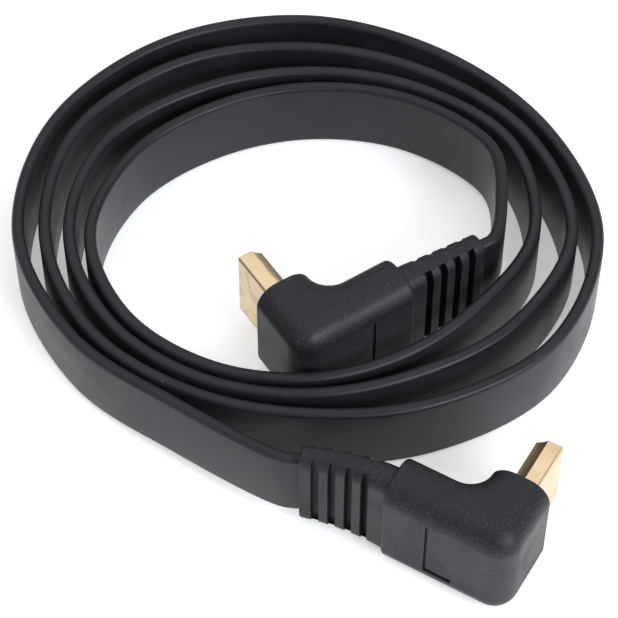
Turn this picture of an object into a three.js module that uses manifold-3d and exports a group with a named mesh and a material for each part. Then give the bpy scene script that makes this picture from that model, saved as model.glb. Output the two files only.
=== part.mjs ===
// Flat audio and video lead, standing on edge in an open coil, with a right-angle plug at each end.
// Millimetres, +Z up. The surface that the lead stands on is z = 0.
import * as THREE from 'three';
import { mergeVertices } from 'three/addons/utils/BufferGeometryUtils.js';
import Module from 'manifold-3d';

const wasm = await Module();
wasm.setup();

// Cable: a flat strip on edge.
const CABLE_WIDTH = 13.8;
const CABLE_THICKNESS = 2.1;
const CABLE_CORNER = 0.9;
const CABLE_STEPS = 84;
const JOINT_GAP = 0.3;
const CABLE_LIFT = 0.05;

// Moulded L of a plug. Its long arm lies along the cable and its short arm carries the metal shell.
const MOULD_HEIGHT = 20;
const MOULD_ROUND = 3.8;
const LONG_ARM_THICKNESS = 9;
const LONG_ARM_REACH = 16.9;
const SHORT_ARM_THICKNESS = 9.9;
const SHORT_ARM_REACH = 8.6;
const ELBOW_RADIUS = 4;
const INSIDE_FILLET = 3.7;
// L-shaped groove in the broad outer side of the long arm.
const GROOVE_WIDTH = 0.5;
const GROOVE_DEPTH = 0.4;
const GROOVE_HEIGHT = 12.4;
const GROOVE_FOOT = 4.8;
const GROOVE_FOOT_HEIGHT = 0.9;
const GROOVE_FROM_REAR = 7.55;

// Ribbed strain relief behind the long arm, in one piece with it.
const RELIEF_LENGTH = 15;
const RELIEF_ROOT_DEPTH = 1;
const RELIEF_OFFSET = -0.7;
const RELIEF_ROOT = { thickness: 5.4, height: 19 };
const RELIEF_TIP = { thickness: 4, height: 16.8 };
const RELIEF_ROUNDNESS = 2.8;
const SLOT_COUNT = 4;
const SLOT_WIDTH = 1.1;
const SLOT_PITCH = 2.85;
const LAST_SLOT_FROM_TIP = 2.65;
const SLOT_EDGE_STRIP = 0.5;
const SLOT_CORE = 2.7;

// Metal shell of the plug: one full wide wall, one narrower wide wall with stepped corners.
const SHELL_WIDTH = 13.9;
const SHELL_THICKNESS = 4.45;
const SHELL_NARROW_WIDTH = 10;
const SHELL_STRAIGHT_SIDE = 2.6;
const SHELL_WALL = 0.35;
const SHELL_LENGTH = 9.6;

// Insulator inside the shell, with the slot that takes the socket's tongue.
const INSULATOR_CLEARANCE = 0.3;
const INSULATOR_SETBACK = 0.6;
const TONGUE_SLOT_WIDTH = 10.6;
const TONGUE_SLOT_THICKNESS = 1.9;
const TONGUE_SLOT_DEPTH = 5.4;

// Contact springs in two staggered rows on the slot's wide walls.
const CONTACT_PITCH = 1;
const CONTACT_WIDTH = 0.4;
const CONTACT_THICKNESS = 0.15;
const CONTACT_LENGTH = 4.6;
const CONTACT_GAP = 0.3;
const CONTACT_ROWS = [
  { name: 'near', count: 10, side: -1 },
  { name: 'far', count: 9, side: 1 },
];

// Place of each plug: where the axes of its two arms cross, and which way its cable leaves.
const INNER_PLUG_X = -13.3;
const INNER_PLUG_Y = 12;
const OUTER_PLUG_X = 14;
const OUTER_PLUG_Y = -25.4;
const PLUGS = [
  { name: 'inner', x: INNER_PLUG_X, y: INNER_PLUG_Y, heading: 33.2, turnedOver: false, bend: 0 },
  { name: 'outer', x: OUTER_PLUG_X, y: OUTER_PLUG_Y, heading: 149.8, turnedOver: true, bend: 21 },
];

// Coil: distance of each lap from the coil's middle every 30 degrees, from the right-hand side round.
const COIL_MIDDLE = { x: -13.7, y: 34.3 };
const STATION_ANGLE = 30;
const LAPS = [
  [NaN, 35.4, 33.8, 32, 32, 34.2, 36, 34, 31.2, 29.4, 29, 31],
  [37, 39.4, 37, 35.7, 36.7, 39.7, 39.5, 36.8, 34, 32.4, 33.2, 37.8],
  [43.3, 42.8, 41, 41.4, 43.8, 45.4, 43.5, 40.3, 37, 36.2, 39.4, 45],
  [47.5, 46.2, 46, 47.9, 49.4, 49.8, 47.9, 43.4, 41.3],
];
// Where the cable swings from the inner plug on to the first lap.
const FIRST_SWING = { x: 18, y: 38.8 };
const LEAD_IN = 3;

const deg = THREE.MathUtils.degToRad;

const colours = {
  cable: new THREE.MeshStandardMaterial({ color: 0x24262b, roughness: 0.45, metalness: 0 }),
  moulding: new THREE.MeshStandardMaterial({ color: 0x27282c, roughness: 0.6, metalness: 0 }),
  gold: new THREE.MeshStandardMaterial({ color: 0xe0c08a, roughness: 0.25, metalness: 1 }),
  insulator: new THREE.MeshStandardMaterial({ color: 0x121212, roughness: 0.7, metalness: 0 }),
};

// Closed solids for joining and cutting.
function toSolid(geometry) {
  const bare = geometry.clone();
  bare.deleteAttribute('normal');
  bare.deleteAttribute('uv');
  const merged = mergeVertices(bare, 1e-4);
  const mesh = new wasm.Mesh({
    numProp: 3,
    vertProperties: new Float32Array(merged.attributes.position.array),
    triVerts: new Uint32Array(merged.index.array),
  });
  return new wasm.Manifold(mesh);
}

function toGeometry(solid) {
  const mesh = solid.getMesh();
  const geometry = new THREE.BufferGeometry();
  geometry.setAttribute('position', new THREE.BufferAttribute(mesh.vertProperties, 3));
  geometry.setIndex(new THREE.BufferAttribute(mesh.triVerts, 1));
  geometry.computeVertexNormals();
  return geometry;
}

function boxBetween(low, high) {
  const size = high.map((value, axis) => value - low[axis]);
  const middle = high.map((value, axis) => (value + low[axis]) / 2);
  return new THREE.BoxGeometry(...size).translate(...middle);
}

function extrudeUp(shape, height, bevel = 0) {
  const options = { depth: height - 2 * bevel, bevelEnabled: bevel > 0, curveSegments: 6 };
  Object.assign(options, { bevelSize: bevel, bevelThickness: bevel, bevelSegments: 6 });
  return new THREE.ExtrudeGeometry(shape, options).translate(0, 0, bevel - height / 2);
}

// The L in plan, a distance inside its true outline. Its arms run on past their ends by the overrun.
function mouldOutline(inset, elbowRadius, overrun) {
  const outerX = -SHORT_ARM_THICKNESS / 2 + inset;
  const outerY = -LONG_ARM_THICKNESS / 2 + inset;
  const innerX = SHORT_ARM_THICKNESS / 2 - inset;
  const innerY = LONG_ARM_THICKNESS / 2 - inset;
  const fillet = INSIDE_FILLET + inset;
  const shape = new THREE.Shape();
  shape.moveTo(outerX, SHORT_ARM_REACH + overrun);
  shape.lineTo(outerX, outerY + elbowRadius);
  if (elbowRadius > 0) {
    shape.absarc(outerX + elbowRadius, outerY + elbowRadius, elbowRadius, Math.PI, 1.5 * Math.PI);
  }
  shape.lineTo(LONG_ARM_REACH + overrun, outerY);
  shape.lineTo(LONG_ARM_REACH + overrun, innerY);
  shape.lineTo(innerX + fillet, innerY);
  shape.absarc(innerX + fillet, innerY + fillet, fillet, 1.5 * Math.PI, Math.PI, true);
  shape.lineTo(innerX, SHORT_ARM_REACH + overrun);
  return shape;
}

// The groove runs up the side, with its foot towards the elbow at the end that points down.
function sideGroove(footSide) {
  const side = -LONG_ARM_THICKNESS / 2;
  const depth = [side - 1, side + GROOVE_DEPTH];
  const rear = LONG_ARM_REACH - GROOVE_FROM_REAR;
  const half = GROOVE_HEIGHT / 2;
  const footEdges = [footSide * half, footSide * (half - GROOVE_FOOT_HEIGHT)].sort((a, b) => a - b);
  const upright = boxBetween([rear - GROOVE_WIDTH, depth[0], -half], [rear, depth[1], half]);
  const foot = boxBetween([rear - GROOVE_FOOT, depth[0], footEdges[0]], [rear, depth[1], footEdges[1]]);
  return toSolid(upright).add(toSolid(foot));
}

function makeElbow() {
  const rounded = toSolid(extrudeUp(mouldOutline(MOULD_ROUND, 0, MOULD_ROUND), MOULD_HEIGHT, MOULD_ROUND));
  const trimmed = toSolid(extrudeUp(mouldOutline(0, ELBOW_RADIUS, 0), MOULD_HEIGHT));
  return rounded.intersect(trimmed);
}

// Place on the strain relief's centre line, a distance behind the moulding, with its heading.
function reliefPlace(distance, bend) {
  const turn = deg(bend) * distance / RELIEF_LENGTH;
  const radius = bend ? RELIEF_LENGTH / deg(bend) : Infinity;
  const along = bend ? radius * Math.sin(turn) : distance;
  const across = bend ? radius * (1 - Math.cos(turn)) : 0;
  return { x: LONG_ARM_REACH + along, y: RELIEF_OFFSET - across, turn };
}

function reliefSection(distance) {
  const t = distance / RELIEF_LENGTH;
  return {
    halfThickness: THREE.MathUtils.lerp(RELIEF_ROOT.thickness, RELIEF_TIP.thickness, t) / 2,
    halfHeight: THREE.MathUtils.lerp(RELIEF_ROOT.height, RELIEF_TIP.height, t) / 2,
  };
}

// Skin of rings between two flat ends. Each ring is a list of points, counterclockwise round +X.
function loft(rings) {
  const count = rings[0].length;
  const index = [];
  for (let ring = 0; ring + 1 < rings.length; ring += 1) {
    for (let i = 0; i < count; i += 1) {
      const a = ring * count + i;
      const b = ring * count + (i + 1) % count;
      index.push(a, b, a + count, b, b + count, a + count);
    }
  }
  const last = (rings.length - 1) * count;
  for (let i = 1; i + 1 < count; i += 1) {
    index.push(0, i + 1, i, last, last + i, last + i + 1);
  }
  const geometry = new THREE.BufferGeometry();
  geometry.setAttribute('position', new THREE.Float32BufferAttribute(rings.flat(2), 3));
  geometry.setIndex(index);
  return geometry;
}

function reliefRing(distance, bend) {
  const sides = 24;
  const place = reliefPlace(distance, bend);
  const { halfThickness, halfHeight } = reliefSection(distance);
  const power = 2 / RELIEF_ROUNDNESS;
  return Array.from({ length: sides }, (_, i) => {
    const angle = 2 * Math.PI * (i + 0.5) / sides;
    const [c, s] = [Math.cos(angle), Math.sin(angle)];
    const across = Math.sign(c) * Math.abs(c) ** power * halfThickness;
    const up = Math.sign(s) * Math.abs(s) ** power * halfHeight;
    return [place.x + across * Math.sin(place.turn), place.y + across * Math.cos(place.turn), up];
  });
}

// Four slots in each broad side, down to a core round the cable.
function reliefSlots(bend) {
  const slots = [];
  for (let i = 0; i < SLOT_COUNT; i += 1) {
    const distance = RELIEF_LENGTH - LAST_SLOT_FROM_TIP - i * SLOT_PITCH;
    const place = reliefPlace(distance, bend);
    const top = reliefSection(distance).halfHeight - SLOT_EDGE_STRIP;
    for (const side of [-1, 1]) {
      const reach = [SLOT_CORE / 2, RELIEF_ROOT.thickness].map((value) => side * value).sort((a, b) => a - b);
      const cutter = boxBetween([-SLOT_WIDTH / 2, reach[0], -top], [SLOT_WIDTH / 2, reach[1], top]);
      cutter.rotateZ(-place.turn).translate(place.x, place.y, 0);
      slots.push(toSolid(cutter));
    }
  }
  return slots.reduce((all, slot) => all.add(slot));
}

function makeRelief(bend) {
  const stations = 10;
  const start = -RELIEF_ROOT_DEPTH;
  const rings = Array.from({ length: stations + 1 }, (_, i) => (
    reliefRing(start + (RELIEF_LENGTH - start) * i / stations, bend)));
  return toSolid(loft(rings)).subtract(reliefSlots(bend));
}

function makeMoulding(plug) {
  const groove = sideGroove(plug.turnedOver ? 1 : -1);
  return toGeometry(makeElbow().subtract(groove).add(makeRelief(plug.bend)));
}

// Outline of the shell's section, a distance inside its outer face: x across, y along its width.
function shellOutline(inset) {
  const half = SHELL_WIDTH / 2 - inset;
  const narrow = SHELL_NARROW_WIDTH / 2 - inset * 0.6;
  const low = -SHELL_THICKNESS / 2 + inset;
  const high = SHELL_THICKNESS / 2 - inset;
  const shoulder = -SHELL_THICKNESS / 2 + SHELL_STRAIGHT_SIDE - inset * 0.4;
  return new THREE.Shape([
    new THREE.Vector2(low, -half),
    new THREE.Vector2(shoulder, -half),
    new THREE.Vector2(high, -narrow),
    new THREE.Vector2(high, narrow),
    new THREE.Vector2(shoulder, half),
    new THREE.Vector2(low, half),
  ]);
}

// Extrusion of a section along the plug's axis, from one distance to another past the moulding.
function alongPlug(shape, from, to) {
  const geometry = new THREE.ExtrudeGeometry(shape, { depth: to - from, bevelEnabled: false });
  return geometry.rotateX(-Math.PI / 2).translate(0, SHORT_ARM_REACH + from, 0);
}

function makeShell() {
  const outside = shellOutline(0);
  outside.holes.push(new THREE.Path(shellOutline(SHELL_WALL).getPoints().reverse()));
  return alongPlug(outside, JOINT_GAP, SHELL_LENGTH);
}

function makeInsulator() {
  const inset = SHELL_WALL + INSULATOR_CLEARANCE;
  const front = SHELL_LENGTH - INSULATOR_SETBACK;
  const block = toSolid(alongPlug(shellOutline(inset), JOINT_GAP, front));
  const [t, w] = [TONGUE_SLOT_THICKNESS / 2, TONGUE_SLOT_WIDTH / 2];
  const y = SHORT_ARM_REACH + front;
  return toGeometry(block.subtract(toSolid(boxBetween([-t, y - TONGUE_SLOT_DEPTH, -w], [t, y + 1, w]))));
}

function makeContact() {
  const back = SHORT_ARM_REACH + SHELL_LENGTH - INSULATOR_SETBACK - TONGUE_SLOT_DEPTH + CONTACT_GAP;
  const [t, w] = [CONTACT_THICKNESS / 2, CONTACT_WIDTH / 2];
  return boxBetween([-t, back, -w], [t, back + CONTACT_LENGTH, w]);
}

function contactPlaces() {
  const x = TONGUE_SLOT_THICKNESS / 2 - CONTACT_GAP - CONTACT_THICKNESS / 2;
  return CONTACT_ROWS.flatMap((row) => Array.from({ length: row.count }, (_, i) => ({
    name: `contact_${row.name}_${i + 1}`,
    x: row.side * x,
    z: (i - (row.count - 1) / 2) * CONTACT_PITCH,
  })));
}

function addMesh(group, name, geometry, material) {
  const mesh = new THREE.Mesh(geometry, material);
  mesh.name = name;
  group.add(mesh);
  return mesh;
}

function makePlug(plug) {
  const group = new THREE.Group();
  addMesh(group, `${plug.name}_moulding`, makeMoulding(plug), colours.moulding);
  addMesh(group, `${plug.name}_shell`, makeShell(), colours.gold);
  addMesh(group, `${plug.name}_insulator`, makeInsulator(), colours.insulator);
  for (const place of contactPlaces()) {
    const contact = addMesh(group, `${plug.name}_${place.name}`, makeContact(), colours.gold);
    contact.position.set(place.x, 0, place.z);
  }
  group.rotation.set(plug.turnedOver ? Math.PI : 0, 0, deg(plug.heading), 'ZYX');
  group.position.set(plug.x, plug.y, MOULD_HEIGHT / 2);
  return group;
}

// Cable centre a distance past a plug's strain relief, in the plug's heading there.
function cableExit(plug, distance) {
  const tip = reliefPlace(RELIEF_LENGTH, plug.bend);
  const local = new THREE.Vector3(
    tip.x + distance * Math.cos(tip.turn), tip.y - distance * Math.sin(tip.turn), 0);
  const turned = new THREE.Euler(plug.turnedOver ? Math.PI : 0, 0, deg(plug.heading), 'ZYX');
  return local.applyEuler(turned).add(new THREE.Vector3(plug.x, plug.y, MOULD_HEIGHT / 2));
}

// Height of the cable's centre: on the surface, and raised towards each plug, whose moulding is taller.
function cableHeight(degrees) {
  const last = (LAPS.length - 1) * 360 + (LAPS.at(-1).length - 1) * STATION_ANGLE;
  const lying = CABLE_WIDTH / 2 + CABLE_LIFT;
  const rise = MOULD_HEIGHT / 2 - lying;
  const fromInner = THREE.MathUtils.smoothstep(degrees, -30, 75);
  const fromOuter = THREE.MathUtils.smoothstep(last + 30 - degrees, 0, 75);
  return lying + rise * (1 - Math.min(fromInner, fromOuter));
}

function coilStations() {
  const stations = [];
  LAPS.forEach((lap, turn) => lap.forEach((radius, i) => {
    if (Number.isNaN(radius)) return;
    const angle = i * STATION_ANGLE;
    stations.push(new THREE.Vector3(
      COIL_MIDDLE.x + radius * Math.cos(deg(angle)),
      COIL_MIDDLE.y + radius * Math.sin(deg(angle)),
      cableHeight(turn * 360 + angle)));
  }));
  return stations;
}

// The cable's route. Its section stays upright, with the wide side vertical.
class UprightRoute extends THREE.CatmullRomCurve3 {
  computeFrenetFrames(segments) {
    const tangents = Array.from({ length: segments + 1 }, (_, i) => this.getTangentAt(i / segments));
    const normals = tangents.map((t) => new THREE.Vector3(0, 0, 1).addScaledVector(t, -t.z).normalize());
    const binormals = tangents.map((t, i) => new THREE.Vector3().crossVectors(t, normals[i]));
    return { tangents, normals, binormals };
  }
}

function cableRoute() {
  const [inner, outer] = PLUGS;
  const swing = new THREE.Vector3(FIRST_SWING.x, FIRST_SWING.y, cableHeight(0));
  const points = [cableExit(inner, JOINT_GAP), cableExit(inner, LEAD_IN), swing, ...coilStations()];
  points.push(cableExit(outer, LEAD_IN), cableExit(outer, JOINT_GAP));
  const route = new UprightRoute(points, false, 'centripetal');
  route.arcLengthDivisions = 1000;
  return route;
}

function makeCable() {
  const [w, t, r] = [CABLE_WIDTH / 2, CABLE_THICKNESS / 2, CABLE_CORNER];
  const section = new THREE.Shape();
  const corners = [[w - r, t - r, 0], [r - w, t - r, 90], [r - w, r - t, 180], [w - r, r - t, 270]];
  for (const [x, y, turn] of corners) {
    for (const step of [0, 45, 90]) {
      const angle = deg(turn + step);
      const point = [x + r * Math.cos(angle), y + r * Math.sin(angle)];
      if (section.curves.length === 0 && turn + step === 0) section.moveTo(...point);
      else section.lineTo(...point);
    }
  }
  return new THREE.ExtrudeGeometry(section, { steps: CABLE_STEPS, extrudePath: cableRoute() });
}

const lead = new THREE.Group();
addMesh(lead, 'flat_cable', makeCable(), colours.cable);
for (const plug of PLUGS) lead.add(makePlug(plug));

export default lead;
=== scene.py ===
import math

import bmesh
import bpy
from mathutils import Matrix, Vector


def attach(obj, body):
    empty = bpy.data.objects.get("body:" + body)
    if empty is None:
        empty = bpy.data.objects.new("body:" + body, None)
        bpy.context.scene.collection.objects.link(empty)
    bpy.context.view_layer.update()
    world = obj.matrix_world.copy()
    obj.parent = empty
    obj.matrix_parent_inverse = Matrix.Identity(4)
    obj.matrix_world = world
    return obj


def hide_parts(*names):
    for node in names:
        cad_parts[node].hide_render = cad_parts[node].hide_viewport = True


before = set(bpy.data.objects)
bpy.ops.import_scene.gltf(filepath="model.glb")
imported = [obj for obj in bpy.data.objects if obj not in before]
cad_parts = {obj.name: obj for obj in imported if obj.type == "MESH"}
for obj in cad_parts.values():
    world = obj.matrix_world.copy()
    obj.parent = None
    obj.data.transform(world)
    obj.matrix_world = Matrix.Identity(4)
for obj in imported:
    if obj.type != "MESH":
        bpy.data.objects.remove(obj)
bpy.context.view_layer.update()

MM = 0.001

# The camera, fitted to the photograph.
SENSOR_WIDTH = 36
FOCAL_LENGTH_PIXELS = 2470
PHOTO_SIDE_PIXELS = 618
CAMERA_PLACE = (-0.0137, -0.2204, 0.3301)
CAMERA_TILT = 37

# The cable's section, its space to each strain relief, and how far it runs into the pocket there.
CABLE_WIDTH = 13.8
CABLE_THICKNESS = 2.1
CABLE_CORNER = 0.9
CABLE_LIFT = 0.05
JOINT_GAP = 0.3
INTO_POCKET = 0.35
STEPS_PER_STATION = 24
JACKET_STEPS = 900

# The moulding: a tall L in plan. The long arm ends in the strain relief, the short arm in the
# plug's shell.
MOULD_HEIGHT = 20
MOULD_ROUND = 3.8
LONG_ARM_THICKNESS = 9
LONG_ARM_REACH = 16.9
SHORT_ARM_THICKNESS = 9.9
SHORT_ARM_REACH = 8.6
ELBOW_RADIUS = 4
INSIDE_FILLET = 3.7
END_EDGE = 0.35

# The groove in the long arm's outer side: an upright line and a thicker foot.
GROOVE_LEFT = 9.35
GROOVE_WIDTH = 0.5
GROOVE_DEPTH = 0.4
GROOVE_HEIGHT = 12.4
GROOVE_FOOT = 4.8
GROOVE_FOOT_HEIGHT = 0.9

# The strain relief: a flat tapered sleeve with slots in its broad sides.
RELIEF_LENGTH = 15
RELIEF_ROOT_DEPTH = 1
RELIEF_OFFSET = -0.7
RELIEF_ROOT = (5.4, 19)
RELIEF_TIP = (4, 16.8)
RELIEF_CORNER = 2.3
SLOT_COUNT = 4
SLOT_WIDTH = 1.35
SLOT_PITCH = 2.85
LAST_SLOT_FROM_TIP = 2.65
SLOT_CORE = 1.5
SLOT_EDGE_STRIP = 0.3
SLOT_CORNER = 0.35
POCKET_DEPTH = 0.9
POCKET_CLEARANCE = 0.12

# The plated shell, with one full wide wall and one narrower one.
SHELL_WIDTH = 13.9
SHELL_THICKNESS = 4.45
SHELL_NARROW_WIDTH = 10
SHELL_WALL = 0.35
SHELL_LENGTH = 9.6
SHELL_SINK = 0.4
SHELL_WIDE_CORNER = 0.5
SHELL_HOLE_SPACE = 0.06
FOLD_LINE = 0.1
FOLD_INSET = 0.6

# The insulator in the shell, and the contact springs in its slot.
INSULATOR_CLEARANCE = 0.3
INSULATOR_SETBACK = 0.6
TONGUE_SLOT_WIDTH = 10.6
TONGUE_SLOT_THICKNESS = 1.9
TONGUE_SLOT_DEPTH = 5.4
CONTACT_PITCH = 1
CONTACT_WIDTH = 0.4
CONTACT_THICKNESS = 0.15
CONTACT_LENGTH = 4.6
CONTACT_GAP = 0.3
CONTACT_BOW = 0.26
CONTACT_STEPS = 14
CONTACT_ROWS = (("near", 10, -1), ("far", 9, 1))

# Place of each plug: where the axes of its two arms cross, and which way its cable leaves.
PLUGS = {
    "inner": {"x": -13.3, "y": 12, "heading": 33.2, "turned_over": False, "bend": 0},
    "outer": {"x": 14, "y": -25.4, "heading": 149.8, "turned_over": True, "bend": 21},
}

# Coil: distance of each lap from the coil's middle at every station, round from the right.
COIL_MIDDLE = (-13.7, 34.3)
STATION_ANGLE = 30
LAPS = [
    [None, 35.4, 33.8, 32, 32, 34.2, 36, 34, 31.2, 29.4, 29, 31],
    [37, 39.4, 37, 35.7, 36.7, 39.7, 39.5, 36.8, 34, 32.4, 33.2, 37.8],
    [43.3, 42.8, 41, 41.4, 43.8, 45.4, 43.5, 40.3, 37, 36.2, 39.4, 45],
    [47.5, 46.2, 46, 47.9, 49.4, 49.8, 47.9, 43.4, 41.3],
]
FIRST_SWING = (18, 38.8)
LEAD_IN = 3


# Camera

def add_camera():
    data = bpy.data.cameras.new("photo_camera")
    camera = bpy.data.objects.new("photo_camera", data)
    bpy.context.scene.collection.objects.link(camera)
    data.sensor_width = SENSOR_WIDTH
    data.lens = FOCAL_LENGTH_PIXELS * SENSOR_WIDTH / PHOTO_SIDE_PIXELS
    data.clip_start = 0.01
    data.clip_end = 20
    camera.location = CAMERA_PLACE
    camera.rotation_euler = (math.radians(CAMERA_TILT), 0, 0)
    bpy.context.scene.camera = camera


# Cable

def smoothstep(value, low, high):
    t = min(1, max(0, (value - low) / (high - low)))
    return t * t * (3 - 2 * t)


def plug_place(plug):
    """Matrix from a plug's own frame, in mm, to the shared frame, in metres."""
    turn_over = Matrix.Rotation(math.pi if plug["turned_over"] else 0, 4, "X")
    heading = Matrix.Rotation(math.radians(plug["heading"]), 4, "Z")
    place = Matrix.Translation((plug["x"] * MM, plug["y"] * MM, MOULD_HEIGHT / 2 * MM))
    return place @ Matrix.Scale(MM, 4) @ heading @ turn_over


def relief_line(bend, distance):
    """Point of the strain relief's centre line at a distance from the long arm, and its turn."""
    turn = math.radians(bend) * distance / RELIEF_LENGTH
    if bend == 0:
        return LONG_ARM_REACH + distance, RELIEF_OFFSET, 0
    radius = RELIEF_LENGTH / math.radians(bend)
    return (LONG_ARM_REACH + radius * math.sin(turn),
            RELIEF_OFFSET - radius * (1 - math.cos(turn)), turn)


def cable_exit(plug, distance):
    """Cable centre a distance past a plug's strain relief, in mm in the shared frame."""
    x, y, turn = relief_line(plug["bend"], RELIEF_LENGTH)
    local = Vector((x + distance * math.cos(turn), y - distance * math.sin(turn), 0))
    return plug_place(plug) @ local / MM


def cable_height(degrees):
    last = (len(LAPS) - 1) * 360 + (len(LAPS[-1]) - 1) * STATION_ANGLE
    lying = CABLE_WIDTH / 2 + CABLE_LIFT
    rise = MOULD_HEIGHT / 2 - lying
    from_inner = smoothstep(degrees, -30, 75)
    from_outer = smoothstep(last + 30 - degrees, 0, 75)
    return lying + rise * (1 - min(from_inner, from_outer))


def coil_stations():
    stations = []
    for lap, radii in enumerate(LAPS):
        for i, radius in enumerate(radii):
            if radius is None:
                continue
            angle = i * STATION_ANGLE
            turn = math.radians(angle)
            stations.append(Vector((COIL_MIDDLE[0] + radius * math.cos(turn),
                                    COIL_MIDDLE[1] + radius * math.sin(turn),
                                    cable_height(lap * 360 + angle))))
    return stations


def route_points():
    inner, outer = PLUGS["inner"], PLUGS["outer"]
    start = [cable_exit(inner, JOINT_GAP), cable_exit(inner, LEAD_IN),
             Vector((*FIRST_SWING, cable_height(0)))]
    return start + coil_stations() + [cable_exit(outer, LEAD_IN), cable_exit(outer, JOINT_GAP)]


def knot_span(a, b):
    """Centripetal spacing of two route points."""
    return max(math.sqrt((b - a).length), 1e-4)


def between(p0, p1, p2, p3, t):
    """Point of the centripetal curve from p1 to p2."""
    d0, d1, d2 = knot_span(p0, p1), knot_span(p1, p2), knot_span(p2, p3)
    out_slope = ((p1 - p0) / d0 - (p2 - p0) / (d0 + d1) + (p2 - p1) / d1) * d1
    in_slope = ((p2 - p1) / d1 - (p3 - p1) / (d1 + d2) + (p3 - p2) / d2) * d1
    square, cube = t * t, t * t * t
    return (p1 * (2 * cube - 3 * square + 1) + out_slope * (cube - 2 * square + t)
            + p2 * (3 * square - 2 * cube) + in_slope * (cube - square))


def smooth_route(points, steps_each):
    ends = [points[0] * 2 - points[1], *points, points[-1] * 2 - points[-2]]
    line = []
    for i in range(len(points) - 1):
        for step in range(steps_each):
            line.append(between(*ends[i:i + 4], step / steps_each))
    return line + [points[-1]]


def evenly(line, count):
    """The same line with its points the same distance apart, and its length."""
    lengths = [0.0]
    for a, b in zip(line, line[1:]):
        lengths.append(lengths[-1] + (b - a).length)
    even, at = [], 0
    for i in range(count + 1):
        want = lengths[-1] * i / count
        while at < len(line) - 2 and lengths[at + 1] < want:
            at += 1
        t = (want - lengths[at]) / (lengths[at + 1] - lengths[at])
        even.append(line[at].lerp(line[at + 1], t))
    return even, lengths[-1]


def cable_section():
    """The section's outline in mm: across its thickness, then up its width."""
    w, t, r = CABLE_WIDTH / 2, CABLE_THICKNESS / 2, CABLE_CORNER
    outline = []
    for sx, sz, start in ((1, 1, 0), (-1, 1, 90), (-1, -1, 180), (1, -1, 270)):
        for step in range(6):
            turn = math.radians(start + 18 * step)
            outline.append((sx * (t - r) + r * math.cos(turn),
                            sz * (w - r) + r * math.sin(turn)))
    return outline


def run_on(line, distance):
    """The line with a short straight end added at each side."""
    start = line[0] + (line[0] - line[1]).normalized() * distance
    end = line[-1] + (line[-1] - line[-2]).normalized() * distance
    return [start, *line, end]


def sweep_jacket(line):
    """Mesh of the jacket along the line, with its distance along the cable, in mm, in its UV map."""
    section = cable_section()
    count = len(section)
    mesh = bmesh.new()
    along = mesh.loops.layers.uv.new("along_cable")
    rings, distances = [], [0.0]
    for i, point in enumerate(line):
        ahead = (line[min(i + 1, len(line) - 1)] - line[max(i - 1, 0)]).normalized()
        up = (Vector((0, 0, 1)) - ahead * ahead.z).normalized()
        across = ahead.cross(up)
        rings.append([mesh.verts.new((point + across * x + up * z) * MM) for x, z in section])
        if i:
            distances.append(distances[-1] + (point - line[i - 1]).length)
    for r in range(len(rings) - 1):
        a, b = rings[r], rings[r + 1]
        for i in range(count):
            j = (i + 1) % count
            face = mesh.faces.new((a[i], b[i], b[j], a[j]))
            corners = ((r, i), (r + 1, i), (r + 1, i + 1), (r, i + 1))
            for loop, (ring, k) in zip(face.loops, corners):
                loop[along].uv = (distances[ring], k / count)
    mesh.faces.new(rings[0])
    mesh.faces.new(rings[-1][::-1])
    bmesh.ops.recalc_face_normals(mesh, faces=mesh.faces)
    data = bpy.data.meshes.new("cable_jacket")
    mesh.to_mesh(data)
    mesh.free()
    return data


def make_cable():
    line, length = evenly(smooth_route(route_points(), STEPS_PER_STATION), JACKET_STEPS)
    jacket = sweep_jacket(run_on(line, JOINT_GAP + INTO_POCKET))
    cable = bpy.data.objects.new("cable_jacket", jacket)
    bpy.context.scene.collection.objects.link(cable)
    smooth_shade(cable, 40)
    return cable, line, length


# Helpers for the modelled pieces

def pick_only(piece):
    bpy.ops.object.select_all(action="DESELECT")
    piece.select_set(True)
    bpy.context.view_layer.objects.active = piece


def place_applied(piece):
    pick_only(piece)
    bpy.ops.object.transform_apply(location=True, rotation=True, scale=True)


def add_block(name, low, high):
    """A block between two corners, in mm, in the plug's own frame."""
    middle = [(a + b) / 2 for a, b in zip(low, high)]
    size = [b - a for a, b in zip(low, high)]
    bpy.ops.object.select_all(action="DESELECT")
    bpy.ops.mesh.primitive_cube_add(size=1, location=middle, scale=size)
    block = bpy.context.active_object
    block.name = block.data.name = name
    place_applied(block)
    return block


def edit(piece, mode):
    pick_only(piece)
    bpy.ops.object.mode_set(mode="EDIT")
    bpy.ops.mesh.select_mode(type=mode)
    bpy.ops.mesh.select_all(action="DESELECT")
    return bmesh.from_edit_mesh(piece.data)


def done():
    bpy.ops.object.mode_set(mode="OBJECT")


def pick_edges(piece, wanted):
    """Edit mode, with the edges selected whose two ends pass the test."""
    mesh = edit(piece, "EDGE")
    for edge in mesh.edges:
        if wanted(edge.verts[0].co, edge.verts[1].co):
            edge.select_set(True)
    bmesh.update_edit_mesh(piece.data)


def pick_faces(piece, wanted):
    """Edit mode, with the faces selected whose middle and normal pass the test."""
    mesh = edit(piece, "FACE")
    for face in mesh.faces:
        if wanted(face.calc_center_median(), face.normal):
            face.select_set(True)
    bmesh.update_edit_mesh(piece.data)


def near(a, b):
    return abs(a - b) < 1e-3


def round_edges(piece, wanted, radius, segments, profile=0.5):
    pick_edges(piece, wanted)
    bpy.ops.mesh.bevel(offset=radius, segments=segments, profile=profile, affect="EDGES",
                       clamp_overlap=False)
    done()


def score(piece, point, normal):
    """Adds an edge loop where a plane crosses the piece."""
    pick_only(piece)
    bpy.ops.object.mode_set(mode="EDIT")
    bpy.ops.mesh.select_all(action="SELECT")
    bpy.ops.mesh.bisect(plane_co=point, plane_no=normal, use_fill=False)
    done()


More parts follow.
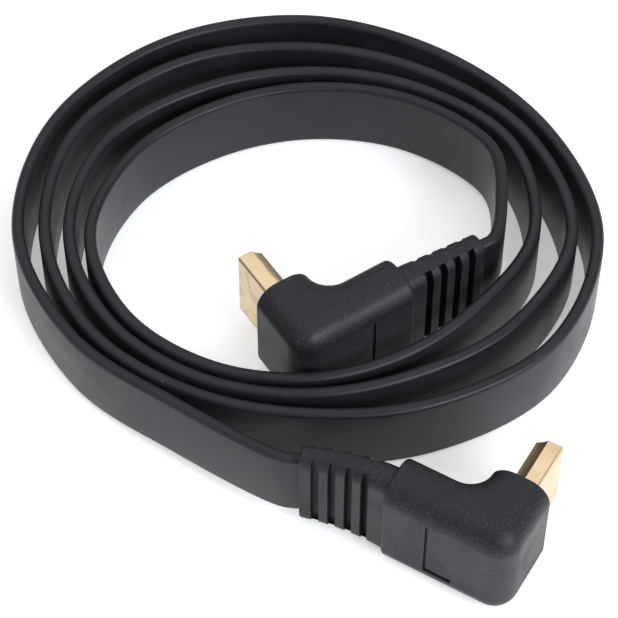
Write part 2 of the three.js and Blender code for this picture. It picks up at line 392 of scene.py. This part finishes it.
def push(piece, wanted, by):
    """Extrudes the wanted faces by a distance."""
    pick_faces(piece, wanted)
    bpy.ops.mesh.extrude_region_move(TRANSFORM_OT_translate={"value": by})
    done()


def merge_flat_faces(piece):
    pick_only(piece)
    bpy.ops.object.mode_set(mode="EDIT")
    bpy.ops.mesh.select_all(action="SELECT")
    bpy.ops.mesh.dissolve_limited(angle_limit=math.radians(0.5))
    done()


def join(pieces):
    bpy.ops.object.select_all(action="DESELECT")
    for piece in pieces:
        piece.select_set(True)
    bpy.context.view_layer.objects.active = pieces[0]
    bpy.ops.object.join()
    return pieces[0]


def combine(piece, other, how):
    """Adds another piece to this one, or cuts it away, and uses it up."""
    pick_only(piece)
    modifier = piece.modifiers.new("combine", "BOOLEAN")
    modifier.operation = how
    modifier.solver = "EXACT"
    modifier.object = other
    bpy.ops.object.modifier_apply(modifier=modifier.name)
    pick_only(other)
    bpy.ops.object.delete()


def soften_edges(piece, width, angle):
    """Takes the sharpness off every edge that is sharper than the angle."""
    pick_only(piece)
    modifier = piece.modifiers.new("soften", "BEVEL")
    modifier.width = width
    modifier.segments = 2
    modifier.limit_method = "ANGLE"
    modifier.angle_limit = math.radians(angle)
    bpy.ops.object.modifier_apply(modifier=modifier.name)


def smooth_shade(piece, angle):
    pick_only(piece)
    bpy.ops.object.shade_smooth_by_angle(angle=math.radians(angle))


def even_shading(piece):
    """Lets the broad flat faces keep their own shading beside rounded edges."""
    pick_only(piece)
    modifier = piece.modifiers.new("even", "WEIGHTED_NORMAL")
    modifier.keep_sharp = True
    bpy.ops.object.modifier_apply(modifier=modifier.name)


def set_down(piece, plug, name):
    """Moves a piece from the plug's own frame into the shared frame."""
    piece.data.transform(plug_place(plug))
    piece.data.update()
    piece.name = piece.data.name = name
    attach(piece, "root")


# Moulding

def make_elbow():
    rear, mouth = LONG_ARM_REACH, SHORT_ARM_REACH
    end, side, top = SHORT_ARM_THICKNESS / 2, LONG_ARM_THICKNESS / 2, MOULD_HEIGHT / 2
    elbow = add_block("elbow", (-end, -side, -top), (rear, side, top))
    score(elbow, (end, 0, 0), (1, 0, 0))
    push(elbow, lambda middle, normal: normal.y > 0.9 and middle.x < end, (0, mouth - side, 0))
    merge_flat_faces(elbow)
    round_edges(elbow, lambda a, b: near(a.x, end) and near(b.x, end) and near(a.y, side)
                and near(b.y, side), INSIDE_FILLET, 12)
    round_edges(elbow, lambda a, b: near(a.x, -end) and near(b.x, -end) and near(a.y, -side)
                and near(b.y, -side), ELBOW_RADIUS, 12)

    def along_rim(a, b):
        level = near(abs(a.z), top) and near(a.z, b.z)
        at_end = (near(a.x, rear) and near(b.x, rear)) or (near(a.y, mouth) and near(b.y, mouth))
        return level and not at_end
    round_edges(elbow, along_rim, MOULD_ROUND, 14)
    round_edges(elbow, lambda a, b: near(a.y, mouth) and near(b.y, mouth), END_EDGE, 3)
    round_edges(elbow, lambda a, b: near(a.x, rear) and near(b.x, rear), END_EDGE * 1.6, 4)
    return elbow


def cut_groove(elbow, foot_side):
    """The upright line, and its thicker foot at the end that points down."""
    side, half = -LONG_ARM_THICKNESS / 2, GROOVE_HEIGHT / 2
    upright = add_block("groove", (GROOVE_LEFT - GROOVE_WIDTH, side - 1, -half),
                        (GROOVE_LEFT, side + GROOVE_DEPTH, half))
    foot_end = sorted((foot_side * half, foot_side * (half - GROOVE_FOOT_HEIGHT)))
    foot = add_block("groove_foot", (GROOVE_LEFT - GROOVE_FOOT, side - 1.2, foot_end[0]),
                     (GROOVE_LEFT - 0.01, side + GROOVE_DEPTH * 1.1, foot_end[1]))
    combine(elbow, upright, "DIFFERENCE")
    combine(elbow, foot, "DIFFERENCE")


def slot_middles():
    tip = LONG_ARM_REACH + RELIEF_LENGTH
    return [tip - LAST_SLOT_FROM_TIP - i * SLOT_PITCH for i in range(SLOT_COUNT)]


def slot_cutters():
    top = RELIEF_ROOT[1] / 2 - SLOT_EDGE_STRIP
    cutters = []
    for middle in slot_middles():
        for side in (-1, 1):
            near_y, far_y = sorted((side * SLOT_CORE / 2 + RELIEF_OFFSET, side * 5 + RELIEF_OFFSET))
            cutter = add_block("slot", (middle - SLOT_WIDTH / 2, near_y, -top),
                               (middle + SLOT_WIDTH / 2, far_y, top))
            core = side * SLOT_CORE / 2 + RELIEF_OFFSET
            round_edges(cutter, lambda a, b: near(a.y, core) and near(b.y, core)
                        and near(a.z, b.z), SLOT_CORNER, 4)
            cutters.append(cutter)
    return join(cutters)


def bend_relief(relief, bend):
    """Tapers the straight sleeve to its tip and bends it to the side."""
    for vertex in relief.data.vertices:
        distance = vertex.co.x - LONG_ARM_REACH
        share = max(0, distance) / RELIEF_LENGTH
        thin = 1 + (RELIEF_TIP[0] / RELIEF_ROOT[0] - 1) * share
        low = 1 + (RELIEF_TIP[1] / RELIEF_ROOT[1] - 1) * share
        across = (vertex.co.y - RELIEF_OFFSET) * thin
        x, y, turn = relief_line(bend, max(0, distance))
        vertex.co = (x + min(0, distance) + across * math.sin(turn), y + across * math.cos(turn),
                     vertex.co.z * low)
    relief.data.update()


def make_relief(bend):
    tip = LONG_ARM_REACH + RELIEF_LENGTH
    half, top = RELIEF_ROOT[0] / 2, RELIEF_ROOT[1] / 2
    relief = add_block("relief", (LONG_ARM_REACH - RELIEF_ROOT_DEPTH, RELIEF_OFFSET - half, -top),
                       (tip, RELIEF_OFFSET + half, top))
    round_edges(relief, lambda a, b: near(a.y, b.y) and near(a.z, b.z), RELIEF_CORNER, 8)
    round_edges(relief, lambda a, b: near(a.x, tip) and near(b.x, tip), 0.45, 4)
    for middle in slot_middles():
        for quarter in (0, 0.25, 0.5, 0.75):
            score(relief, (middle - quarter * SLOT_PITCH, 0, 0), (1, 0, 0))
    combine(relief, slot_cutters(), "DIFFERENCE")
    pocket = add_block("pocket", (tip - POCKET_DEPTH,
                                  RELIEF_OFFSET - CABLE_THICKNESS / 2 - POCKET_CLEARANCE,
                                  -CABLE_WIDTH / 2 - POCKET_CLEARANCE),
                       (tip + 1, RELIEF_OFFSET + CABLE_THICKNESS / 2 + POCKET_CLEARANCE,
                        CABLE_WIDTH / 2 + POCKET_CLEARANCE))
    round_edges(pocket, lambda a, b: near(a.y, b.y) and near(a.z, b.z), CABLE_CORNER, 4)
    stretch_to_taper(pocket)
    combine(relief, pocket, "DIFFERENCE")
    bend_relief(relief, bend)
    return relief


def stretch_to_taper(pocket):
    """The tip is tapered after the pocket is cut, so the pocket starts larger by as much."""
    for vertex in pocket.data.vertices:
        vertex.co.y = RELIEF_OFFSET + (vertex.co.y - RELIEF_OFFSET) * RELIEF_ROOT[0] / RELIEF_TIP[0]
        vertex.co.z *= RELIEF_ROOT[1] / RELIEF_TIP[1]
    pocket.data.update()


def make_moulding(side, plug):
    moulding = make_elbow()
    cut_groove(moulding, 1 if plug["turned_over"] else -1)
    combine(moulding, make_relief(plug["bend"]), "UNION")
    combine(moulding, shell_block(SHELL_HOLE_SPACE, SHORT_ARM_REACH - SHELL_SINK - 0.2, 3),
            "DIFFERENCE")
    smooth_shade(moulding, 32)
    even_shading(moulding)
    set_down(moulding, plug, f"{side}_moulded_plug")
    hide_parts(f"{side}_moulding")
    return moulding


# Plug: shell, contact block and contacts

def shell_block(grow, start, length):
    """A solid block with the shell's section, a little larger all round, along the plug's axis."""
    x, z = SHELL_THICKNESS / 2 + grow, SHELL_WIDTH / 2 + grow
    block = add_block("shell_block", (-x, start, -z), (x, start + length, z))
    round_edges(block, lambda a, b: near(a.x, x) and near(b.x, x) and near(abs(a.z), z)
                and near(a.z, b.z), (SHELL_WIDTH - SHELL_NARROW_WIDTH) / 2, 6, profile=0.2)
    round_edges(block, lambda a, b: near(a.x, -x) and near(b.x, -x) and near(abs(a.z), z)
                and near(a.z, b.z), SHELL_WIDE_CORNER, 5)
    return block


def make_shell(side, plug):
    front = SHORT_ARM_REACH + SHELL_LENGTH
    start = SHORT_ARM_REACH - SHELL_SINK
    shell = shell_block(0, start, front - start)
    wide = -SHELL_THICKNESS / 2
    for z in (-SHELL_WIDTH / 2 + FOLD_INSET, SHELL_WIDTH / 2 - FOLD_INSET):
        for edge in (z - FOLD_LINE / 2, z + FOLD_LINE / 2):
            score(shell, (0, 0, edge), (0, 0, 1))
        push(shell, lambda middle, normal: normal.x < -0.99 and near(middle.x, wide)
             and abs(middle.z - z) < FOLD_LINE, (FOLD_LINE, 0, 0))
    pick_faces(shell, lambda middle, normal: normal.y > 0.99)
    bpy.ops.mesh.dissolve_faces()
    bpy.ops.mesh.inset(thickness=SHELL_WALL, depth=0, use_even_offset=True)
    bpy.ops.mesh.extrude_region_move(
        TRANSFORM_OT_translate={"value": (0, -SHELL_LENGTH + JOINT_GAP, 0)})
    done()
    smooth_shade(shell, 30)
    even_shading(shell)
    set_down(shell, plug, f"{side}_plated_shell")
    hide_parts(f"{side}_shell")
    return shell


def contact_places():
    x = TONGUE_SLOT_THICKNESS / 2 - CONTACT_GAP - CONTACT_THICKNESS / 2
    for name, count, side in CONTACT_ROWS:
        for i in range(count):
            yield f"contact_{name}_{i + 1}", side, side * x, (i - (count - 1) / 2) * CONTACT_PITCH


def make_insulator(side, plug):
    front = SHORT_ARM_REACH + SHELL_LENGTH - INSULATOR_SETBACK
    inset = SHELL_WALL + INSULATOR_CLEARANCE * 0.4
    insulator = shell_block(-inset, SHORT_ARM_REACH + JOINT_GAP + 0.02,
                            front - SHORT_ARM_REACH - JOINT_GAP - 0.02)
    round_edges(insulator, lambda a, b: near(a.y, front) and near(b.y, front), 0.15, 2)
    x, z = TONGUE_SLOT_THICKNESS / 2, TONGUE_SLOT_WIDTH / 2
    tongue = add_block("tongue", (-x, front - TONGUE_SLOT_DEPTH, -z), (x, front + 1, z))
    combine(insulator, tongue, "DIFFERENCE")
    grooves = []
    for _, row, _, z in contact_places():
        low, high = sorted((row * (x - 0.1), row * (x + 0.35)))
        back = front - TONGUE_SLOT_DEPTH + 0.05
        grooves.append(add_block("contact_groove", (low, back, z - 0.26),
                                 (high, front - 0.5, z + 0.26)))
    combine(insulator, join(grooves), "DIFFERENCE")
    smooth_shade(insulator, 30)
    set_down(insulator, plug, f"{side}_contact_block")
    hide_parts(f"{side}_insulator")
    return insulator


def make_contact(row):
    """One spring: a thin strip that bows towards the slot's middle and turns back at its tip."""
    front = SHORT_ARM_REACH + SHELL_LENGTH - INSULATOR_SETBACK
    back = front - TONGUE_SLOT_DEPTH + CONTACT_GAP
    t, w = CONTACT_THICKNESS / 2, CONTACT_WIDTH / 2
    contact = add_block("contact", (-t, back, -w), (t, back + CONTACT_LENGTH, w))
    for i in range(1, CONTACT_STEPS):
        score(contact, (0, back + CONTACT_LENGTH * i / CONTACT_STEPS, 0), (0, 1, 0))
    for vertex in contact.data.vertices:
        share = (vertex.co.y - back) / CONTACT_LENGTH
        vertex.co.x -= row * CONTACT_BOW * math.sin(math.pi * min(1, max(0, share)) ** 1.4)
    contact.data.update()
    soften_edges(contact, 0.03, 50)
    return contact


def make_contacts(side, plug):
    springs = {row: make_contact(row) for _, _, row in CONTACT_ROWS}
    contacts = []
    for name, row, x, z in contact_places():
        contact = springs[row].copy()
        contact.data = springs[row].data.copy()
        bpy.context.scene.collection.objects.link(contact)
        contact.data.transform(Matrix.Translation((x, 0, z)))
        smooth_shade(contact, 40)
        set_down(contact, plug, f"{side}_{name}_spring")
        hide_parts(f"{side}_{name}")
        contacts.append(contact)
    for spring in springs.values():
        pick_only(spring)
        bpy.ops.object.delete()
    return contacts


# Materials

def new_group(name, inputs, outputs):
    """A shader node group with named number or vector inputs and named outputs."""
    group = bpy.data.node_groups.new(name, "ShaderNodeTree")
    for label, kind, value in inputs:
        socket = group.interface.new_socket(label, in_out="INPUT", socket_type=kind)
        if value is not None:
            socket.default_value = value
    for label, kind in outputs:
        group.interface.new_socket(label, in_out="OUTPUT", socket_type=kind)
    start = group.nodes.new("NodeGroupInput")
    end = group.nodes.new("NodeGroupOutput")
    return group, start, end


def add_node(tree, kind, **settings):
    node = tree.nodes.new(kind)
    for name, value in settings.items():
        setattr(node, name, value)
    return node


def wire(tree, source, target):
    tree.links.new(source, target)


def remap(tree, source, low, high, to_low=0.0, to_high=1.0):
    node = add_node(tree, "ShaderNodeMapRange", interpolation_type="SMOOTHSTEP")
    node.inputs["From Min"].default_value = low
    node.inputs["From Max"].default_value = high
    node.inputs["To Min"].default_value = to_low
    node.inputs["To Max"].default_value = to_high
    wire(tree, source, node.inputs["Value"])
    return node.outputs["Result"]


def grain_and_painted_glints():
    """Eroded surface: rounded pits of an even size, and a mask on its highest crests for painted
    glints.
    """
    group, start, end = new_group(
        "grain_and_painted_glints",
        (("Vector", "NodeSocketVector", None), ("Grains Per Metre", "NodeSocketFloat", 4000),
         ("Crest Share", "NodeSocketFloat", 0.6)),
        (("Height", "NodeSocketFloat"), ("Painted Glints", "NodeSocketFloat")))
    fine = add_node(group, "ShaderNodeTexNoise")
    fine.inputs["Detail"].default_value = 3
    fine.inputs["Roughness"].default_value = 0.55
    wire(group, start.outputs["Vector"], fine.inputs["Vector"])
    wire(group, start.outputs["Grains Per Metre"], fine.inputs["Scale"])
    wire(group, fine.outputs["Fac"], end.inputs["Height"])
    above = add_node(group, "ShaderNodeMath", operation="SUBTRACT")
    wire(group, fine.outputs["Fac"], above.inputs[0])
    wire(group, start.outputs["Crest Share"], above.inputs[1])
    wire(group, remap(group, above.outputs[0], 0.0, 0.09), end.inputs["Painted Glints"])
    return group


def handling_marks():
    """Broad, faint changes in how polished a surface is, from mould flow and handling."""
    group, start, end = new_group(
        "handling_marks",
        (("Vector", "NodeSocketVector", None), ("Marks Per Metre", "NodeSocketFloat", 120)),
        (("Mask", "NodeSocketFloat"),))
    broad = add_node(group, "ShaderNodeTexNoise")
    broad.inputs["Detail"].default_value = 4
    broad.inputs["Distortion"].default_value = 0.6
    wire(group, start.outputs["Vector"], broad.inputs["Vector"])
    wire(group, start.outputs["Marks Per Metre"], broad.inputs["Scale"])
    wire(group, remap(group, broad.outputs["Fac"], 0.35, 0.7), end.inputs["Mask"])
    return group


def dust_specks():
    """Sparse pale specks, each a fraction of a millimetre across."""
    group, start, end = new_group(
        "dust_specks",
        (("Vector", "NodeSocketVector", None), ("Cells Per Metre", "NodeSocketFloat", 500),
         ("Rarity", "NodeSocketFloat", 0.9)),
        (("Mask", "NodeSocketFloat"),))
    cells = add_node(group, "ShaderNodeTexVoronoi")
    wire(group, start.outputs["Vector"], cells.inputs["Vector"])
    wire(group, start.outputs["Cells Per Metre"], cells.inputs["Scale"])
    pick = add_node(group, "ShaderNodeSeparateColor")
    wire(group, cells.outputs["Color"], pick.inputs[0])
    rare = add_node(group, "ShaderNodeMath", operation="GREATER_THAN")
    wire(group, pick.outputs[0], rare.inputs[0])
    wire(group, start.outputs["Rarity"], rare.inputs[1])
    both = add_node(group, "ShaderNodeMath", operation="MULTIPLY")
    wire(group, remap(group, cells.outputs["Distance"], 0.07, 0.03), both.inputs[0])
    wire(group, rare.outputs[0], both.inputs[1])
    wire(group, both.outputs[0], end.inputs["Mask"])
    return group


def new_finish(name, colour, roughness, **settings):
    """A material with its shader's plain values set, and its Object coordinates."""
    material = bpy.data.materials.new(name)
    material.use_nodes = True
    tree = material.node_tree
    shader = tree.nodes["Principled BSDF"]
    shader.inputs["Base Color"].default_value = (*colour, 1)
    shader.inputs["Roughness"].default_value = roughness
    for label, value in settings.items():
        shader.inputs[label.replace("_", " ")].default_value = value
    coordinates = add_node(tree, "ShaderNodeTexCoord")
    return material, tree, shader, coordinates


def use_group(tree, group, vector, **values):
    node = add_node(tree, "ShaderNodeGroup", node_tree=group)
    wire(tree, vector, node.inputs["Vector"])
    for label, value in values.items():
        node.inputs[label.replace("_", " ")].default_value = value
    return node


# Sockets of a Mix node that is set to colours.
MIX_SHARE, MIX_UNDER, MIX_OVER, MIX_RESULT = 0, 6, 7, 2


def blend_colours(tree, mask, low, high):
    node = add_node(tree, "ShaderNodeMix", data_type="RGBA")
    node.inputs[MIX_UNDER].default_value = (*low, 1)
    node.inputs[MIX_OVER].default_value = (*high, 1)
    wire(tree, mask, node.inputs[MIX_SHARE])
    return node.outputs[MIX_RESULT]


def colour_over(tree, mask, under, colour):
    node = add_node(tree, "ShaderNodeMix", data_type="RGBA")
    node.inputs[MIX_OVER].default_value = (*colour, 1)
    wire(tree, mask, node.inputs[MIX_SHARE])
    wire(tree, under, node.inputs[MIX_UNDER])
    return node.outputs[MIX_RESULT]


def scaled(tree, source, factor):
    node = add_node(tree, "ShaderNodeMath", operation="MULTIPLY")
    node.inputs[1].default_value = factor
    wire(tree, source, node.inputs[0])
    return node.outputs[0]


def bumped(tree, shader, heights, distance, strength):
    """Feeds one or two heights, added together, to the shader's normal."""
    height = heights[0]
    for other in heights[1:]:
        add = add_node(tree, "ShaderNodeMath", operation="ADD")
        wire(tree, height, add.inputs[0])
        wire(tree, other, add.inputs[1])
        height = add.outputs[0]
    bump = add_node(tree, "ShaderNodeBump")
    bump.inputs["Distance"].default_value = distance
    bump.inputs["Strength"].default_value = strength
    wire(tree, height, bump.inputs["Height"])
    wire(tree, bump.outputs["Normal"], shader.inputs["Normal"])


def moulding_finish(groups):
    """Black moulded plastic with a fine eroded grain, and painted bluish glints on the grain's
    crests.
    """
    material, tree, shader, where = new_finish("moulded_black_plastic", (0.02, 0.02, 0.022), 0.45,
                                              Specular_IOR_Level=0.26)
    grain = use_group(tree, groups["grain"], where.outputs["Object"],
                      Grains_Per_Metre=4200, Crest_Share=0.56)
    marks = use_group(tree, groups["marks"], where.outputs["Object"], Marks_Per_Metre=110)
    dust = use_group(tree, groups["dust"], where.outputs["Object"],
                     Cells_Per_Metre=420, Rarity=0.965)
    # Painted highlight: the grain's crests get a lighter bluish colour that stands in for sparkle.
    skin = blend_colours(tree, grain.outputs["Painted Glints"], (0.013, 0.013, 0.015),
                         (0.042, 0.043, 0.052))
    dusty = colour_over(tree, scaled(tree, dust.outputs["Mask"], 0.5), skin,
                        (0.2, 0.2, 0.2))
    wire(tree, dusty, shader.inputs["Base Color"])
    wire(tree, remap(tree, marks.outputs["Mask"], 0, 1, 0.40, 0.50), shader.inputs["Roughness"])
    bumped(tree, shader, [grain.outputs["Height"]], 0.00006, 0.8)
    return material


def jacket_finish(groups):
    """Satin black jacket, with fine draw lines along the cable from the extruder's die."""
    material, tree, shader, where = new_finish("satin_black_jacket", (0.02, 0.02, 0.023), 0.36,
                                              Specular_IOR_Level=0.25)
    along = add_node(tree, "ShaderNodeUVMap", uv_map="along_cable")
    stretch = add_node(tree, "ShaderNodeMapping")
    stretch.inputs["Scale"].default_value = (0.045, 260, 1)
    wire(tree, along.outputs["UV"], stretch.inputs["Vector"])
    lines = add_node(tree, "ShaderNodeTexNoise")
    lines.inputs["Scale"].default_value = 1
    lines.inputs["Detail"].default_value = 3
    wire(tree, stretch.outputs["Vector"], lines.inputs["Vector"])
    grain = use_group(tree, groups["grain"], where.outputs["Object"],
                      Grains_Per_Metre=3600, Crest_Share=0.6)
    marks = use_group(tree, groups["marks"], where.outputs["Object"], Marks_Per_Metre=70)
    dust = use_group(tree, groups["dust"], where.outputs["Object"],
                     Cells_Per_Metre=300, Rarity=0.975)
    skin = blend_colours(tree, marks.outputs["Mask"], (0.012, 0.0125, 0.0145),
                         (0.018, 0.0185, 0.022))
    dusty = colour_over(tree, scaled(tree, dust.outputs["Mask"], 0.35), skin,
                        (0.18, 0.18, 0.18))
    wire(tree, dusty, shader.inputs["Base Color"])
    wire(tree, remap(tree, marks.outputs["Mask"], 0, 1, 0.33, 0.42), shader.inputs["Roughness"])
    bumped(tree, shader, [scaled(tree, lines.outputs["Fac"], 0.7),
                          scaled(tree, grain.outputs["Height"], 0.6)], 0.00003, 0.7)
    return material


def gold_finish(groups, name, colour, tint, roughness):
    """Thin gold plate over drawn metal, with faint smudges and a fine grain."""
    material, tree, shader, where = new_finish(name, colour, roughness, Metallic=1.0)
    marks = use_group(tree, groups["marks"], where.outputs["Object"], Marks_Per_Metre=260)
    grain = use_group(tree, groups["grain"], where.outputs["Object"],
                      Grains_Per_Metre=2600, Crest_Share=0.5)
    skin = blend_colours(tree, marks.outputs["Mask"], colour, tint)
    wire(tree, skin, shader.inputs["Base Color"])
    wire(tree, remap(tree, marks.outputs["Mask"], 0, 1, roughness, roughness + 0.12),
         shader.inputs["Roughness"])
    bumped(tree, shader, [grain.outputs["Height"]], 0.00001, 0.5)
    return material


def insulator_finish(groups):
    """Plain black plastic in the mouth of the plug, a little glossier than the moulding."""
    material, tree, shader, where = new_finish("contact_block_plastic", (0.01, 0.01, 0.011), 0.4)
    grain = use_group(tree, groups["grain"], where.outputs["Object"],
                      Grains_Per_Metre=5200, Crest_Share=0.58)
    marks = use_group(tree, groups["marks"], where.outputs["Object"], Marks_Per_Metre=300)
    skin = blend_colours(tree, marks.outputs["Mask"], (0.008, 0.008, 0.009), (0.014, 0.014, 0.016))
    wire(tree, skin, shader.inputs["Base Color"])
    wire(tree, remap(tree, marks.outputs["Mask"], 0, 1, 0.35, 0.48), shader.inputs["Roughness"])
    bumped(tree, shader, [grain.outputs["Height"]], 0.00002, 0.6)
    return material


def paint(piece, material):
    piece.data.materials.clear()
    piece.data.materials.append(material)


# Floor and light

def add_floor():
    bpy.ops.object.select_all(action="DESELECT")
    bpy.ops.mesh.primitive_plane_add(size=6, location=(0, 0, 0))
    floor = bpy.context.active_object
    floor.name = "studio_floor"
    material, tree, shader, where = new_finish("white_sweep", (0.9, 0.9, 0.9), 0.7)
    paper = add_node(tree, "ShaderNodeTexNoise")
    paper.inputs["Scale"].default_value = 900
    wire(tree, where.outputs["Object"], paper.inputs["Vector"])
    bumped(tree, shader, [paper.outputs["Fac"]], 0.00001, 0.2)
    shader.inputs["Emission Color"].default_value = (1, 1, 1, 1)
    shader.inputs["Emission Strength"].default_value = 0.38
    floor.data.materials.append(material)


def add_softbox(name, place, target, size, power, colour=(1, 1, 1)):
    data = bpy.data.lights.new(name, "AREA")
    data.shape = "RECTANGLE"
    data.size, data.size_y = size
    data.energy = power
    data.color = colour
    light = bpy.data.objects.new(name, data)
    light.location = place
    light.rotation_euler = (Vector(target) - Vector(place)).to_track_quat("-Z", "Y").to_euler()
    bpy.context.scene.collection.objects.link(light)


def light_studio():
    world = bpy.data.worlds.new("studio")
    bpy.context.scene.world = world
    world.use_nodes = True
    sky = world.node_tree.nodes["Background"]
    sky.inputs["Color"].default_value = (1, 1, 1, 1)
    sky.inputs["Strength"].default_value = 0.38
    middle = (-0.012, 0.03, 0.01)
    add_softbox("overhead", (-0.1, 0.25, 0.9), middle, (1.8, 1.3), 6.8, (0.93, 0.96, 1))
    add_softbox("right_front", (0.5, -0.52, 0.5), middle, (0.55, 0.3), 7, (0.88, 0.93, 1))
    add_softbox("left_front", (-0.7, -0.5, 0.35), middle, (0.6, 0.6), 0.4, (1, 0.98, 0.95))
    scene = bpy.context.scene
    scene.view_settings.view_transform = "Standard"
    scene.view_settings.look = "None"


# The object

add_camera()

cable, cable_line, cable_length = make_cable()
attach(cable, "root")
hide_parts("flat_cable")

groups = {"grain": grain_and_painted_glints(), "marks": handling_marks(), "dust": dust_specks()}
finishes = {
    "jacket": jacket_finish(groups),
    "moulding": moulding_finish(groups),
    "shell": gold_finish(groups, "pale_gold_plate", (0.75, 0.575, 0.36), (0.69, 0.52, 0.33), 0.32),
    "spring": gold_finish(groups, "contact_gold", (0.85, 0.62, 0.3), (0.8, 0.56, 0.26), 0.18),
    "insulator": insulator_finish(groups),
}
paint(cable, finishes["jacket"])
for side, plug in PLUGS.items():
    paint(make_moulding(side, plug), finishes["moulding"])
    paint(make_shell(side, plug), finishes["shell"])
    paint(make_insulator(side, plug), finishes["insulator"])
    for contact in make_contacts(side, plug):
        paint(contact, finishes["spring"])

add_floor()
light_studio()
